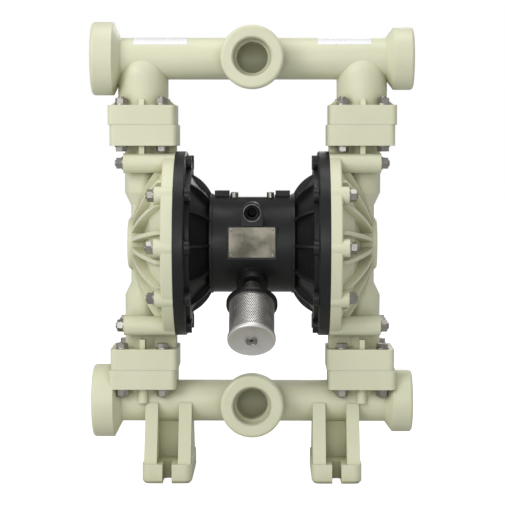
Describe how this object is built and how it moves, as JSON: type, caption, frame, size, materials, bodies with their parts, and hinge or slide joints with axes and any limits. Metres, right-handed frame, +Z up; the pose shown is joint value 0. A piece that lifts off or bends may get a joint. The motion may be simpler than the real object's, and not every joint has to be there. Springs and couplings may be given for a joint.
{
  "type": "air operated diaphragm pump",
  "caption": "Air operated double diaphragm pump with ribbed plastic fluid caps, pipe manifolds, ball valves, black air motor with muffler, and slotted feet.",
  "frame": {"origin": "on the floor, midway between the four foot slots", "axes": "+Z up, +X along the rod to the right seen from the front, -Y towards the front (air inlet and muffler)"},
  "size_m": [0.478, 0.2975, 0.6791],
  "materials": {
    "cream_plastic": "satin moulded",
    "black_plastic": "fine moulded grain",
    "stainless": "satin",
    "rod_steel": "ground",
    "black_rubber": "matte",
    "white_ptfe": "smooth",
    "bushing_plastic": "smooth",
    "spool_aluminium": "anodised",
    "sleeve_brass": "machined",
    "muffler_plastic": "satin",
    "muffler_steel": "pressed"
  },
  "bodies": {
    "housing": {"center_body": "black_plastic", "left_air_cap": "black_plastic", "left_air_cap_screws": "stainless", "left_diaphragm": "black_rubber", "left_discharge_seat": "cream_plastic", "left_discharge_seat_ring": "black_rubber", "left_fluid_cap": "cream_plastic", "left_rim_bolts": "stainless", "left_rim_nuts": "stainless", "left_suction_seat": "cream_plastic", "left_suction_seat_ring": "black_rubber", "left_valve_end_cap": "black_plastic", "lower_box_bolts": "stainless", "lower_box_nuts": "stainless", "lower_manifold": "cream_plastic", "muffler_base": "muffler_plastic", "muffler_end_plate": "muffler_steel", "muffler_eyelet": "muffler_steel", "muffler_mesh": "muffler_steel", "muffler_neck": "muffler_steel", "pilot_sleeve": "sleeve_brass", "right_air_cap": "black_plastic", "right_air_cap_screws": "stainless", "right_diaphragm": "black_rubber", "right_discharge_seat": "cream_plastic", "right_discharge_seat_ring": "black_rubber", "right_fluid_cap": "cream_plastic", "right_rim_bolts": "stainless", "right_rim_nuts": "stainless", "right_suction_seat": "cream_plastic", "right_suction_seat_ring": "black_rubber", "right_valve_end_cap": "black_plastic", "rod_bushings": "bushing_plastic", "rod_seals": "black_rubber", "top_cover": "black_plastic", "upper_box_bolts": "stainless", "upper_box_nuts": "stainless", "upper_manifold": "cream_plastic", "valve_body": "black_plastic", "valve_gasket": "black_rubber"},
    "rod_assembly": {"connecting_rod": "rod_steel", "left_inner_plate": "rod_steel", "left_outer_plate": "cream_plastic", "left_rod_nut": "stainless", "right_inner_plate": "rod_steel", "right_outer_plate": "cream_plastic", "right_rod_nut": "stainless"},
    "spool": {"valve_spool": "spool_aluminium"},
    "pilot": {"pilot_rod": "rod_steel"},
    "left_suction_ball": {"left_suction_ball": "white_ptfe"},
    "left_discharge_ball": {"left_discharge_ball": "white_ptfe"},
    "right_suction_ball": {"right_suction_ball": "white_ptfe"},
    "right_discharge_ball": {"right_discharge_ball": "white_ptfe"}
  },
  "joints": [
    {"name": "rod_stroke", "type": "slide", "parent": "housing", "child": "rod_assembly", "axis": [1, 0, 0], "range_m": [-0.018, 0.018], "deforming": ["left_diaphragm", "right_diaphragm"]},
    {"name": "spool_shift", "type": "slide", "parent": "housing", "child": "spool", "axis": [1, 0, 0], "range_m": [-0.006, 0.006]},
    {"name": "pilot_shift", "type": "slide", "parent": "housing", "child": "pilot", "axis": [1, 0, 0], "range_m": [-0.004, 0.004]},
    {"name": "left_suction_lift", "type": "slide", "parent": "housing", "child": "left_suction_ball", "axis": [0, 0, 1], "range_m": [0, 0.01]},
    {"name": "left_discharge_lift", "type": "slide", "parent": "housing", "child": "left_discharge_ball", "axis": [0, 0, 1], "range_m": [0, 0.01]},
    {"name": "right_suction_lift", "type": "slide", "parent": "housing", "child": "right_suction_ball", "axis": [0, 0, 1], "range_m": [0, 0.01]},
    {"name": "right_discharge_lift", "type": "slide", "parent": "housing", "child": "right_discharge_ball", "axis": [0, 0, 1], "range_m": [0, 0.01]}
  ]
}
